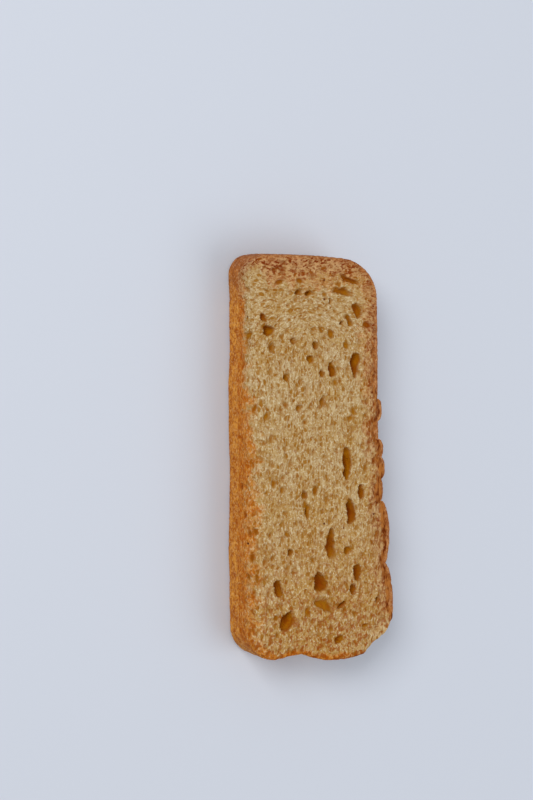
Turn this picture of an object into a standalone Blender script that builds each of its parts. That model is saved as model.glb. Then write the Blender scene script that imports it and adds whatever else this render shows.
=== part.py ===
"""A rusk: one thick slice of a twice-baked loaf, lying on one cut face with the other up.

Metres, +Z up. The origin is on the surface the rusk lies on, under the middle of the slice.
+Y runs along the slice to its narrow end and +X across it to the blistered crust.

The slice is a loft of outlines up its thickness. Each outline is a four-sided figure with
rounded corners, swollen by the crust's blisters and drawn in where the cut edges are rounded.
The open crumb's largest holes are cut into both faces.
"""

import math
import random

import bmesh
import bpy
from mathutils import Euler, Matrix, Vector

MM = 0.001
NAME = "rusk"

# Driving dimensions
LENGTH = 107.0 * MM
WIDTH = 43.4 * MM
THICKNESS = 14.0 * MM
NARROW_END = 37.6 * MM      # width of the slice at its upper end, without blisters
WIDE_END = 40.4 * MM        # and at its lower end
TOP_DROP = 2.2 * MM         # the upper end falls by this much towards the blistered side
TOP_LEFT_DROP = 0.8 * MM    # and by this much at its other corner
BLISTER_ROOM_BELOW = 2.6 * MM

# Corner radii, going round from the upper left to the right
CORNER_RADII = (5.5 * MM, 10.5 * MM, 7.0 * MM, 7.0 * MM)

# Rounding of the cut edge, for a side that faces left, right, or up or down the slice
ROUND_LEFT = 4.0 * MM
ROUND_LEFT_BELOW = 1.6 * MM     # and on the left of the lower face
ROUND_RIGHT = 0.9 * MM
ROUND_ENDS = 1.2 * MM

# Blisters of the crust: place along the side, half length, height, and the level in the
# thickness where it is fullest (0 is the lower face, 1 the upper).
RIGHT_BLISTERS = (
    (12.3 * MM, 2.9 * MM, 1.3 * MM, 0.8),
    (1.9 * MM, 2.6 * MM, 1.75 * MM, 0.5),
    (-3.1 * MM, 3.2 * MM, 1.8 * MM, 0.9),
    (-8.6 * MM, 3.2 * MM, 1.0 * MM, 0.6),
    (-20.6 * MM, 8.8 * MM, 2.7 * MM, 0.7),
    (-38.6 * MM, 10.6 * MM, 3.35 * MM, 0.8),
)
LOWER_BLISTERS = (
    (5.6 * MM, 12.0 * MM, 2.6 * MM, 0.8),
    (-15.0 * MM, 5.5 * MM, 0.7 * MM, 0.5),
)
UPPER_BLISTERS = (
    (-8.0 * MM, 20.0 * MM, 0.9 * MM, 0.6),
)
BLISTER_FLATNESS = 2.5      # more makes a blister's crown flatter
NOTCHED = 0.5               # blisters that meet in notches, as on the right
MERGED = 1.3                # blisters that run smoothly into the crust, as at the ends
BLISTER_FADE = 0.6          # part of its height that a blister loses one thickness away
WAIST_PLACE = 8.0 * MM     # the right side is drawn in here
WAIST_HALF = 26.0 * MM
WAIST_DEPTH = 0.4 * MM

# Slow waves of the smooth side, from the tin: height, length of a wave, where it starts
LEFT_WAVES = (
    (0.16 * MM, 37.0 * MM, 5.0 * MM),
    (0.07 * MM, 14.5 * MM, 2.0 * MM),
)

# Large holes of the upper face: x, y, size across, size along and depth in millimetres, the
# lean to the left in degrees, how much wider than its middle a hole is at its upper end, and
# how much deeper at its lower end
UPPER_PORES = (
    (-7.4, 43.4, 2.5, 1.5, 1.3, 0, 0.0, 0.0),
    (-4.1, 43.2, 3.6, 1.4, 1.5, 0, 0.0, 0.0),
    (-18.0, 37.2, 2.1, 2.4, 1.6, -12, 0.0, 0.0),
    (-16.4, 33.7, 3.4, 3.0, 2.2, -10, 0.2, 0.0),
    (-15.3, 29.5, 2.6, 2.5, 0.8, 0, 0.0, 0.0),
    (-9.0, 31.1, 2.3, 2.0, 0.8, 30, 0.0, 0.0),
    (-2.5, 29.4, 2.4, 1.8, 1.1, -30, 0.3, 0.0),
    (-4.1, 26.4, 1.8, 1.9, 1.4, 0, 0.0, 0.0),
    (2.4, 23.6, 2.1, 3.6, 1.6, 0, 0.0, 0.2),
    (-0.5, 22.8, 1.8, 2.2, 0.7, 0, 0.0, 0.0),
    (9.4, 24.2, 2.7, 6.8, 2.3, -3, 0.5, -0.3),
    (10.1, 38.5, 2.7, 4.8, 1.6, 28, 0.0, 0.0),
    (7.5, 35.7, 1.8, 3.4, 1.2, 15, 0.0, 0.0),
    (5.4, 43.7, 1.8, 7.2, 0.9, 78, 0.0, 0.0),
    (7.4, 46.7, 1.4, 7.0, 1.1, 64, 0.0, 0.0),
    (1.8, 41.2, 1.0, 2.6, 0.9, 0, 0.0, 0.0),
    (4.8, 35.2, 1.5, 1.1, 1.0, 0, 0.0, 0.0),
    (-11.0, 21.9, 1.7, 2.3, 1.4, 30, 0.0, 0.0),
    (-7.7, 14.0, 2.1, 2.6, 0.9, 0, 0.0, 0.0),
    (0.0, 15.6, 2.1, 3.1, 0.9, 10, 0.0, 0.0),
    (6.9, -1.4, 2.6, 9.2, 2.6, 0, 0.2, 0.5),
    (11.2, -9.3, 1.7, 4.2, 1.6, 0, 0.0, 0.0),
    (7.8, -14.0, 2.7, 7.1, 2.5, 6, -0.1, -0.2),
    (-4.9, -13.5, 1.3, 4.4, 1.3, 0, 0.0, 0.0),
    (-5.9, -8.8, 2.1, 2.1, 1.1, 0, 0.0, 0.0),
    (2.1, -22.2, 2.7, 8.7, 1.7, 0, -0.3, 0.2),
    (7.4, -24.1, 2.3, 2.7, 1.2, 25, 0.0, 0.0),
    (10.2, -30.2, 2.3, 5.0, 2.0, 4, 0.0, 0.2),
    (9.2, -34.8, 2.2, 2.9, 1.6, 0, 0.0, 0.0),
    (-1.0, -31.9, 3.9, 5.6, 2.4, 12, -0.5, 0.5),
    (-13.3, -32.9, 2.4, 4.7, 1.9, 12, 0.0, 0.0),
    (-10.7, -41.3, 3.6, 5.9, 2.4, -38, -0.3, 0.3),
    (-10.0, -23.8, 1.8, 1.6, 1.2, 0, 0.0, 0.0),
    (0.2, -37.8, 3.0, 7.6, 1.0, 62, 0.0, 0.0),
    (5.5, -38.8, 1.3, 3.4, 1.1, -50, 0.0, 0.0),
    (4.8, -47.7, 3.0, 1.9, 1.3, 0, 0.0, 0.0),
    (16.4, -38.1, 1.9, 1.9, 1.0, 0, 0.0, 0.0),
    (13.1, -44.9, 3.2, 1.6, 0.8, 0, 0.0, 0.0),
)

# Holes of the lower face follow a rule: this many, drawn at random and kept apart
LOWER_PORE_COUNT = 16
LOWER_PORE_SPACING = 9.0 * MM
LOWER_PORE_EDGE = 9.0 * MM          # distance kept from the crust
LOWER_PORE_MIDDLE = 8.0 * MM        # flat ground left round the origin
LOWER_PORE_ACROSS = (1.6 * MM, 3.0 * MM)
LOWER_PORE_STRETCH = (1.0, 3.0)     # its length as a multiple of its size across
LOWER_PORE_DEPTH = 0.8              # its depth as a part of its size across
LOWER_PORE_LEAN = 20.0              # largest lean either way, in degrees
SEED = 12

PORE_LIFT = 0.1     # a cutter's middle is this part of its depth outside the face
SQUARENESS = 2.6    # a hole's outline is an ellipse at 2 and grows squarer above it
STEEPNESS = 0.55    # a hole is deeper by this part at its left rim and shallower at its right

# Fineness of the solid
OUTLINE_STEP = 1.1 * MM
EDGE_ANGLES = (0.0, 30.0, 60.0, 90.0)
SIDE_LEVELS = (0.35, 0.5, 0.65)
PORE_SIDES = 14
PORE_RINGS = 8

CRUMB_COLOUR = (0.46, 0.29, 0.11, 1.0)
CRUMB_ROUGHNESS = 0.9


def clear_scene():
    """Remove whatever objects the file holds."""
    for old in list(bpy.data.objects):
        bpy.data.objects.remove(old, do_unlink=True)


def new_collection(name):
    """A collection linked to the scene."""
    collection = bpy.data.collections.new(name)
    bpy.context.scene.collection.children.link(collection)
    return collection


def corner_points():
    """The slice's four corners before rounding, from the upper left to the right."""
    left = -WIDTH / 2
    top = LENGTH / 2
    bottom = -LENGTH / 2 + BLISTER_ROOM_BELOW
    return (
        Vector((left, top - TOP_LEFT_DROP)),
        Vector((left + NARROW_END, top - TOP_DROP)),
        Vector((left + WIDE_END, bottom)),
        Vector((left, bottom)),
    )


def rounded_outline(corners, radii, step):
    """Points and outward normals round a convex figure with rounded corners, clockwise."""
    samples = []
    count = len(corners)
    arcs = []
    for i in range(count):
        before = (corners[i] - corners[i - 1]).normalized()
        after = (corners[(i + 1) % count] - corners[i]).normalized()
        turn = before.angle(after)
        start = corners[i] - before * radii[i] * math.tan(turn / 2)
        normal = Vector((-before.y, before.x))
        arcs.append((start, start - normal * radii[i], normal, turn, radii[i], after))
    for i, (start, centre, normal, turn, radius, after) in enumerate(arcs):
        pieces = max(2, round(radius * turn / step))
        for k in range(pieces):
            spoke = normal @ Matrix.Rotation(turn * k / pieces, 2)
            samples.append((centre + spoke * radius, spoke))
        spoke = Vector((-after.y, after.x))
        run_start = centre + spoke * radius
        run = arcs[(i + 1) % count][0] - run_start
        pieces = max(1, round(run.length / step))
        for k in range(pieces):
            samples.append((run_start + run * (k / pieces), spoke))
    return samples


def swelling(blisters, place, level, power):
    """Height of the tallest blister at a place along a side, at a level in the thickness."""
    tallest = 0.0
    for middle, half, height, fullest in blisters:
        t = abs(place - middle) / half
        if t < 1:
            fade = 1 - BLISTER_FADE * (level - fullest) ** 2
            tallest = max(tallest, height * fade * (1 - t ** BLISTER_FLATNESS) ** power)
    return tallest


def waist(y):
    """How far the right side is drawn in at a place along it, as a smooth hollow."""
    t = min(1.0, abs(y - WAIST_PLACE) / WAIST_HALF)
    return WAIST_DEPTH * (1 - t * t) ** 2


def tin_waves(y):
    """How far the smooth side stands out or in at a place along it."""
    return sum(high * math.sin(math.tau * (y - start) / long) for high, long, start in LEFT_WAVES)


def crust_offset(point, normal, level):
    """How far the crust stands out from the plain outline."""
    left = max(0.0, -normal.x) * tin_waves(point.y)
    blistered = swelling(RIGHT_BLISTERS, point.y, level, NOTCHED)
    right = max(0.0, normal.x) * (blistered - waist(point.y))
    lower = max(0.0, -normal.y) * swelling(LOWER_BLISTERS, point.x, level, MERGED)
    upper = max(0.0, normal.y) * swelling(UPPER_BLISTERS, point.x, level, MERGED)
    return left + right + lower + upper


def edge_radius(normal, left):
    """Rounding of a cut edge, of this radius on the left, for a side that faces this way."""
    sideways = left if normal.x < 0 else ROUND_RIGHT
    return sideways * normal.x ** 2 + ROUND_ENDS * normal.y ** 2


def ring_heights(normal):
    """Heights and insets of the loft's rings for a side that faces this way, from below."""
    above = edge_radius(normal, ROUND_LEFT)
    below = edge_radius(normal, ROUND_LEFT_BELOW)
    turns = [math.radians(degrees) for degrees in EDGE_ANGLES]
    lower = [(below * (1 - math.cos(a)), below * (1 - math.sin(a))) for a in turns]
    upper = [(THICKNESS - above * (1 - math.cos(a)), above * (1 - math.sin(a))) for a in turns]
    return lower + [(THICKNESS * part, 0.0) for part in SIDE_LEVELS] + upper[::-1]


def make_slice():
    """The slice as a loft of outlines closed by its two cut faces.

    The blisters and waves change the overall sizes by under one percent, so the finished
    loft is centred and stretched to the exact length and width.
    """
    samples = rounded_outline(corner_points(), CORNER_RADII, OUTLINE_STEP)
    work = bmesh.new()
    rings = [[] for _ in range(2 * len(EDGE_ANGLES) + len(SIDE_LEVELS))]
    for point, normal in samples:
        for ring, (height, inset) in zip(rings, ring_heights(normal)):
            out = crust_offset(point, normal, height / THICKNESS) - inset
            place = point + normal * out
            ring.append(work.verts.new((place.x, place.y, height)))
    for lower, upper in zip(rings, rings[1:]):
        for i in range(len(samples)):
            j = (i + 1) % len(samples)
            work.faces.new((lower[i], lower[j], upper[j], upper[i]))
    work.faces.new(rings[0])
    work.faces.new(rings[-1])
    bmesh.ops.recalc_face_normals(work, faces=work.faces)
    low = [min(v.co[axis] for v in work.verts) for axis in range(2)]
    high = [max(v.co[axis] for v in work.verts) for axis in range(2)]
    centre = Vector(((low[0] + high[0]) / 2, (low[1] + high[1]) / 2, 0.0))
    bmesh.ops.translate(work, vec=-centre, verts=work.verts)
    fit = Vector((WIDTH / (high[0] - low[0]), LENGTH / (high[1] - low[1]), 1.0))
    bmesh.ops.scale(work, vec=fit, verts=work.verts)
    mesh = bpy.data.meshes.new(NAME)
    work.to_mesh(mesh)
    work.free()
    return bpy.data.objects.new(NAME, mesh)


def make_pore(name, collection, spot, face, sizes, lean, taper, slope):
    """A cutter for a hole of the upper face (face is 1) or the lower one (-1).

    The sizes are those across and along it and its depth. It is a ball whose level sections
    are made squarer, then tapered along and stretched. Its depth falls from left to right and,
    by the slope, from its lower end to its upper.
    """
    across, along, depth = sizes
    work = bmesh.new()
    bmesh.ops.create_uvsphere(work, u_segments=PORE_SIDES, v_segments=PORE_RINGS, radius=1.0)
    lift = PORE_LIFT * depth
    for vert in work.verts:
        x, y = abs(vert.co.x), abs(vert.co.y)
        reach = (x ** SQUARENESS + y ** SQUARENESS) ** (1 / SQUARENESS)
        if reach > 0:
            vert.co.xy *= math.hypot(x, y) / reach
        vert.co.z *= 1 - STEEPNESS * vert.co.x - slope * vert.co.y
        vert.co.x *= 1 + taper * vert.co.y
    bmesh.ops.scale(work, vec=Vector((across / 2, along / 2, depth + lift)), verts=work.verts)
    mesh = bpy.data.meshes.new(name)
    work.to_mesh(mesh)
    work.free()
    pore = bpy.data.objects.new(name, mesh)
    level = THICKNESS if face > 0 else 0.0
    pore.location = (spot[0], spot[1], level + face * lift)
    pore.rotation_euler = Euler((0.0, 0.0, math.radians(lean)))
    pore.hide_render = True
    pore.display_type = "WIRE"
    collection.objects.link(pore)


def cut_upper_pores(collection):
    """The large holes that show on the upper face."""
    for number, (x, y, across, along, depth, lean, taper, slope) in enumerate(UPPER_PORES):
        name = f"upper_pore_{number:02d}"
        sizes = (across * MM, along * MM, depth * MM)
        make_pore(name, collection, (x * MM, y * MM), 1, sizes, lean, taper, slope)


def cut_lower_pores(collection):
    """Holes of the same kind on the lower face, clear of the ground round the origin."""
    rng = random.Random(SEED)
    chosen = []
    half_x = WIDTH / 2 - LOWER_PORE_EDGE
    half_y = LENGTH / 2 - LOWER_PORE_EDGE
    while len(chosen) < LOWER_PORE_COUNT:
        place = Vector((rng.uniform(-half_x, half_x), rng.uniform(-half_y, half_y)))
        across = rng.uniform(*LOWER_PORE_ACROSS)
        along = across * rng.uniform(*LOWER_PORE_STRETCH)
        lean = rng.uniform(-LOWER_PORE_LEAN, LOWER_PORE_LEAN)
        clear = all((place - other).length > LOWER_PORE_SPACING for other in chosen)
        if clear and place.length > LOWER_PORE_MIDDLE:
            name = f"lower_pore_{len(chosen):02d}"
            sizes = (across, along, LOWER_PORE_DEPTH * across)
            make_pore(name, collection, place, -1, sizes, lean, 0.0, 0.0)
            chosen.append(place)


def crumb_material():
    """Dry toasted crumb."""
    material = bpy.data.materials.new("toasted_crumb")
    material.use_nodes = True
    shader = material.node_tree.nodes["Principled BSDF"]
    shader.inputs["Base Color"].default_value = CRUMB_COLOUR
    shader.inputs["Roughness"].default_value = CRUMB_ROUGHNESS
    shader.inputs["Metallic"].default_value = 0.0
    return material


def main():
    """Build the rusk."""
    clear_scene()
    parts = new_collection(NAME)
    cutters = new_collection("cutters")
    rusk = make_slice()
    parts.objects.link(rusk)
    rusk.data.materials.append(crumb_material())
    cut_upper_pores(cutters)
    cut_lower_pores(cutters)
    opening = rusk.modifiers.new("open_crumb", "BOOLEAN")
    opening.operation = "DIFFERENCE"
    opening.solver = "EXACT"
    opening.operand_type = "COLLECTION"
    opening.collection = cutters


main()
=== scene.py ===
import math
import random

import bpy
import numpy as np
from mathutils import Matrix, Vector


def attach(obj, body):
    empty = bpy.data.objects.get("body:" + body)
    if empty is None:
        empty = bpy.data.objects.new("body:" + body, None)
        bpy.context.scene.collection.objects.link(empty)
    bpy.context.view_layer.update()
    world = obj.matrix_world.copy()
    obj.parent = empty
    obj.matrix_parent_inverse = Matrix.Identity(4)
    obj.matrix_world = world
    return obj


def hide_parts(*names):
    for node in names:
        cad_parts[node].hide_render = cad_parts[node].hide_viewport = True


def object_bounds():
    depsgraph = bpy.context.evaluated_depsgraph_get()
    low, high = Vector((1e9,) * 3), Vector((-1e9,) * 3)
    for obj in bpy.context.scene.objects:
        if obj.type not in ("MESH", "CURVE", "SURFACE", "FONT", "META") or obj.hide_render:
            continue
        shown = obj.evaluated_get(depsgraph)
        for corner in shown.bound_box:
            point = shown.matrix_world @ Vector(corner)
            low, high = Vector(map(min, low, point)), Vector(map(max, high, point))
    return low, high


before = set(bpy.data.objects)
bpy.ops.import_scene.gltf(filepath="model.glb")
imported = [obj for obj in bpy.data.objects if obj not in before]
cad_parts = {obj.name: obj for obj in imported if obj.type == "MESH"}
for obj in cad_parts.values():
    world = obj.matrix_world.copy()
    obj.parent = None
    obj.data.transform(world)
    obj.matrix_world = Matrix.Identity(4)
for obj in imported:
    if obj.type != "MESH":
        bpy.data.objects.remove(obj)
cad_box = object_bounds()

# The finish of a rusk: a thick slice of a twice-baked loaf, lying with one cut face up.
#
# One closed mesh makes the slice. Its upper face is a fine grid stretched over the outline,
# its wall is a band of rings round the crust, and its lower face is a coarser grid. The
# crust's blisters stand out from the wall. The open crumb and the crust's fine grain are sunk.

MM = 0.001
PIECE = "twice_baked_slice"

# ---------------------------------------------------------------- sizes of the slice, in metres
LENGTH = 107.0 * MM
WIDTH = 43.4 * MM
THICKNESS = 14.0 * MM
NARROW_END = 37.6 * MM      # width of the slice at its upper end, without blisters
WIDE_END = 40.4 * MM        # and at its lower end
TOP_DROP = 2.2 * MM         # the upper end falls by this much towards the blistered side
TOP_LEFT_DROP = 0.8 * MM    # and by this much at its other corner
BLISTER_ROOM_BELOW = 2.6 * MM

# Corner radii, going round from the upper left to the right
CORNER_RADII = (5.5 * MM, 10.5 * MM, 7.0 * MM, 7.0 * MM)

# Rounding of the cut edge, for a side that faces left, right, or up or down the slice
ROUND_LEFT = 4.0 * MM
ROUND_LEFT_BELOW = 1.6 * MM     # and on the left of the lower face
ROUND_RIGHT = 0.9 * MM
ROUND_ENDS = 1.2 * MM

# Blisters of the crust: place along the side, half length, height, and the level in the
# thickness where it is fullest (0 is the lower face, 1 the upper)
RIGHT_BLISTERS = (
    (12.3 * MM, 2.9 * MM, 1.3 * MM, 0.8),
    (1.9 * MM, 2.6 * MM, 1.75 * MM, 0.5),
    (-3.1 * MM, 3.2 * MM, 1.8 * MM, 0.9),
    (-8.6 * MM, 3.2 * MM, 1.0 * MM, 0.6),
    (-20.6 * MM, 8.8 * MM, 2.7 * MM, 0.7),
    (-38.6 * MM, 10.6 * MM, 3.35 * MM, 0.8),
)
LOWER_BLISTERS = (
    (5.6 * MM, 12.0 * MM, 2.6 * MM, 0.8),
    (-15.0 * MM, 5.5 * MM, 0.7 * MM, 0.5),
)
UPPER_BLISTERS = (
    (-8.0 * MM, 20.0 * MM, 0.9 * MM, 0.6),
)
BLISTER_FLATNESS = 2.5      # more makes a blister's crown flatter
NOTCHED = 0.5               # blisters that meet in notches, as on the right
MERGED = 1.3                # blisters that run smoothly into the crust, as at the ends
BLISTER_FADE = 0.6          # part of its height that a blister loses one thickness away
SEAM_BEND = 1.6 * MM        # how far the notches wander on their way down the side
SEAM_SIZE = 7.0 * MM        # size of the noise that they follow
SEAM_SEED = 21
WAIST_PLACE = 8.0 * MM      # the right side is drawn in here
WAIST_HALF = 26.0 * MM
WAIST_DEPTH = 0.4 * MM

# Slow waves of the smooth side: height, length of a wave, where it starts
LEFT_WAVES = (
    (0.16 * MM, 37.0 * MM, 5.0 * MM),
    (0.07 * MM, 14.5 * MM, 2.0 * MM),
)

# Large holes of the upper face: x, y, size across, size along and depth in millimetres, the
# lean to the left in degrees, how much wider than its middle a hole is at its upper end, and
# how much deeper at its lower end
UPPER_PORES = (
    (-7.4, 43.4, 2.5, 1.5, 1.3, 0, 0.0, 0.0),
    (-4.1, 43.2, 3.6, 1.4, 1.5, 0, 0.0, 0.0),
    (-18.0, 37.2, 2.1, 2.4, 1.6, -12, 0.0, 0.0),
    (-16.4, 33.7, 3.4, 3.0, 2.2, -10, 0.2, 0.0),
    (-15.3, 29.5, 2.6, 2.5, 0.8, 0, 0.0, 0.0),
    (-9.0, 31.1, 2.3, 2.0, 0.8, 30, 0.0, 0.0),
    (-2.5, 29.4, 2.4, 1.8, 1.1, -30, 0.3, 0.0),
    (-4.1, 26.4, 1.8, 1.9, 1.4, 0, 0.0, 0.0),
    (2.4, 23.6, 2.1, 3.6, 1.6, 0, 0.0, 0.2),
    (-0.5, 22.8, 1.8, 2.2, 0.7, 0, 0.0, 0.0),
    (9.4, 24.2, 2.7, 6.8, 2.3, -3, 0.5, -0.3),
    (10.1, 38.5, 2.7, 4.8, 1.6, 28, 0.0, 0.0),
    (7.5, 35.7, 1.8, 3.4, 1.2, 15, 0.0, 0.0),
    (5.4, 43.7, 1.8, 7.2, 0.9, 78, 0.0, 0.0),
    (7.4, 46.7, 1.4, 7.0, 1.1, 64, 0.0, 0.0),
    (1.8, 41.2, 1.0, 2.6, 0.9, 0, 0.0, 0.0),
    (4.8, 35.2, 1.5, 1.1, 1.0, 0, 0.0, 0.0),
    (-11.0, 21.9, 1.7, 2.3, 1.4, 30, 0.0, 0.0),
    (-7.7, 14.0, 2.1, 2.6, 0.9, 0, 0.0, 0.0),
    (0.0, 15.6, 2.1, 3.1, 0.9, 10, 0.0, 0.0),
    (6.9, -1.4, 2.6, 9.2, 2.6, 0, 0.2, 0.5),
    (11.2, -9.3, 1.7, 4.2, 1.6, 0, 0.0, 0.0),
    (7.8, -14.0, 2.7, 7.1, 2.5, 6, -0.1, -0.2),
    (-4.9, -13.5, 1.3, 4.4, 1.3, 0, 0.0, 0.0),
    (-5.9, -8.8, 2.1, 2.1, 1.1, 0, 0.0, 0.0),
    (2.1, -22.2, 2.7, 8.7, 1.7, 0, -0.3, 0.2),
    (7.4, -24.1, 2.3, 2.7, 1.2, 25, 0.0, 0.0),
    (10.2, -30.2, 2.3, 5.0, 2.0, 4, 0.0, 0.2),
    (9.2, -34.8, 2.2, 2.9, 1.6, 0, 0.0, 0.0),
    (-1.0, -31.9, 3.9, 5.6, 2.4, 12, -0.5, 0.5),
    (-13.3, -32.9, 2.4, 4.7, 1.9, 12, 0.0, 0.0),
    (-10.7, -41.3, 3.6, 5.9, 2.4, -38, -0.3, 0.3),
    (-10.0, -23.8, 1.8, 1.6, 1.2, 0, 0.0, 0.0),
    (0.2, -37.8, 3.0, 7.6, 1.0, 62, 0.0, 0.0),
    (5.5, -38.8, 1.3, 3.4, 1.1, -50, 0.0, 0.0),
    (4.8, -47.7, 3.0, 1.9, 1.3, 0, 0.0, 0.0),
    (16.4, -38.1, 1.9, 1.9, 1.0, 0, 0.0, 0.0),
    (13.1, -44.9, 3.2, 1.6, 0.8, 0, 0.0, 0.0),
)

# Holes of the lower face follow a rule: this many, drawn at random and kept apart
LOWER_PORE_COUNT = 16
LOWER_PORE_SPACING = 9.0 * MM
LOWER_PORE_EDGE = 9.0 * MM          # distance kept from the crust
LOWER_PORE_MIDDLE = 8.0 * MM        # flat ground left round the origin
LOWER_PORE_ACROSS = (1.6 * MM, 3.0 * MM)
LOWER_PORE_STRETCH = (1.0, 3.0)     # its length as a multiple of its size across
LOWER_PORE_DEPTH = 0.8              # its depth as a part of its size across
LOWER_PORE_LEAN = 20.0              # largest lean either way, in degrees
LOWER_PORE_SEED = 12

PORE_LIFT = 0.1     # a hole's middle is this part of its depth outside the face
SQUARENESS = 2.6    # a hole's outline is an ellipse at 2 and grows squarer above it
STEEPNESS = 0.55    # a hole is deeper by this part at its left rim and shallower at its right

# ---------------------------------------------------------------- fineness of the mesh
ACROSS = 144            # cells of the upper grid across the slice
ALONG = 360             # and along it; both are even, as the lower grid has half of them
LOWER_GRID = (ACROSS // 2, ALONG // 2)
UPPER_STEPS = 13        # rings round the upper rounded edge
WALL_STEPS = 11         # rings down the wall
LOWER_STEPS = 4         # rings round the lower rounded edge
LOWER_STRIP = 0.6 * MM  # strip of the lower face between its edge and its coarser grid
ARC_POINTS = 80         # points that trace half a corner before they are spaced out evenly
TABLE = 4096            # rows of a random table, a power of two
PRIMES = (73856093, 19349663, 83492791)     # these spread a lattice's cells over the table

# ---------------------------------------------------------------- the crumb and the crust
# Noise is given as the size of its largest waves, its first seed and its number of layers
PORE_WARP = 0.76 * MM       # how far a hole's rim wanders at most
PORE_WARP_SIZE = 1.9 * MM
PORE_WARP_SEEDS = (31, 41)
PORE_POWER = 0.68           # how steeply a hole's wall falls in the middle; 0.5 is a round bowl
PORE_SOFTENS = 0.1          # how much that grows to the right and shrinks to the left
PORE_VARIES = 0.3           # how much it also varies from place to place
PORE_VARYING = (3.0 * MM, 35, 2)
HOLE_MOTTLES = 0.5          # how much a large hole's colour, darkened with its sinking partly as painted shade, varies with the noise of the edge
GRAIN_TURN = (24.0 * MM, 42.0 * MM)   # between these the crumb's grain arches over the slice
ARCH_MIDDLE = -5.0 * MM     # the arch's crown is here across the slice

# The crumb's cells: size of a box, share of the boxes that hold one, least and largest radius
MIDDLING_CELLS = (2.4 * MM, 0.65, (0.38 * MM, 1.0 * MM))
SMALL_CELLS = (1.25 * MM, 0.75, (0.24 * MM, 0.5 * MM))
CELL_INSET = 0.1            # a cell's middle keeps this part of its box away from the box's side
CELL_SWING = 0.7            # its lean varies within this angle, in radians
CELL_STRETCH = (1.1, 1.8)   # its length as a multiple of its width
CELL_DEPTH = (0.3, 1.1)     # its depth as a multiple of its radius
CELL_BOWL = 0.9             # the power that shapes its bowl; 0.5 is round
CELL_SINK = 0.65            # the part of its depth that is carved
CELL_SHADE = 1.1            # and the part that darkens its colour, partly as painted shade
CELL_BEND = 0.9 * MM        # how far the rows of boxes are bent
CELL_BEND_SIZE = 3.0 * MM
CLEARED = (0.3 * MM, 1.3 * MM)      # in a large hole this deep the cells fade
CLEARED_MOST = 0.8                  # by this part at most
ROLLING = 0.10 * MM         # half the height of the face's slow rolls
ROLLING_SIZE = 9.0 * MM
UPPER_SEED = 100
LOWER_SEED = 200

# The crust: how deep its rolls, wrinkles and pits are, and how large each is
CRUST_ROLLS = (0.22 * MM, 5.0 * MM)
CRUST_WRINKLES = (0.16 * MM, 1.6 * MM)
CRUST_PITS = (0.14 * MM, 1.1 * MM)
CRUST_SEEDS = (61, 71, 81)
WRINKLE_POWER = 4           # more makes a wrinkle narrower
PIT_STARTS = (0.25, 0.6)    # noise between these becomes a pit
CRUST_DEPTH = 1.7 * MM      # how far from the wall the close crumb under the crust reaches
CRUST_RAGGED = 0.6 * MM     # and how much this varies
FACE_STARTS = (0.1, 0.65)   # the upright part of its direction, where a wall turns to a face
EDGE_NOISE = (3.0 * MM, 51, 3)

# How far the browning reaches from the wall, for a side that faces left, right, up and down
TOASTED = (12.5 * MM, 7.5 * MM, 11.0 * MM, 3.2 * MM)
LEFT_NARROWS = (0.0 * MM, 38.0 * MM)      # between these heights the left browning narrows
LEFT_NARROWED = 0.45                      # to this part of its reach
LEFT_OPEN = 6.0 * MM    # on the left the wall is open crumb this far below the rounded edge
UNEVENLY = 0.1          # how much the browning varies with the noise of the edge
BROKEN_CORNER = (19.5 * MM, -50.5 * MM)   # the corner where the crust has crumbled off
BROKEN_REACH = (3.15 * MM, 9.0 * MM)      # between these distances from it the crumbling ends
BROKEN_HEIGHTS = (5.0 * MM, 12.0 * MM)    # and it sets in between these heights
BROKEN_RAGGED = 2.5 * MM                  # how far its border wanders
BROKEN_NOISE = (5.0 * MM, 91, 3)
BROKEN_STARTS = (0.2, 0.6)                # between these strengths the crust is lost
BROKEN_SINK = 0.5 * MM                    # how much lower the crumbled corner lies
BROKEN_PALE = 0.8                         # part of its browning that the corner lacks


def smooth(low, high, value):
    """0 below low, 1 above high, and 3t^2 - 2t^3 of the way between them."""
    t = np.clip((value - low) / (high - low), 0.0, 1.0)
    return t * t * (3 - 2 * t)


def between(ends, t):
    """The value this part of the way from the first end to the second."""
    return ends[0] + (ends[1] - ends[0]) * t


def table_key(cell):
    """Each whole-numbered cell's place in a random table: its numbers times large primes,
    joined bit by bit by exclusive or, of which the last bits are kept."""
    return np.bitwise_xor.reduce(cell * np.array(PRIMES[:cell.shape[1]]), axis=1) & (TABLE - 1)


def lattice_noise(place, size, seed):
    """Smooth noise from -1 to 1 at an array of places.

    Each corner of a cubic lattice of this size has a random value. A place takes the mean of
    its cell's eight corners, each weighted by the product of 3t^2 - 2t^3 along the three axes.
    """
    table = np.random.default_rng(seed).uniform(-1.0, 1.0, TABLE)
    scaled = place / size
    cell = np.floor(scaled).astype(np.int64)
    t = scaled - cell
    t = t * t * (3 - 2 * t)
    total = np.zeros(len(place))
    for corner in np.ndindex(2, 2, 2):
        weight = np.prod(np.where(np.array(corner), t, 1 - t), axis=1)
        total += weight * table[table_key(cell + np.array(corner))]
    return total


def layered_noise(place, size, seed, layers=3):
    """Sum of lattice noises, each of half the size and half the strength of the one before."""
    total = np.zeros(len(place))
    for layer in range(layers):
        total += lattice_noise(place, size / 2 ** layer, seed + layer) / 2 ** layer
    return total / (2 - 2 / 2 ** layers)


def grain_lean(spot):
    """Angle to the left of the way the crumb's cells stretch, at an array of flat places.

    It is nought up to the height where the grain turns, then grows to a right angle, to the
    left on the right side and to the right on the left side, so that the cells arch.
    """
    side = np.where(spot[..., 0] > ARCH_MIDDLE, 1.0, -1.0)
    return side * math.pi / 2 * smooth(*GRAIN_TURN, spot[..., 1])


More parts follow.
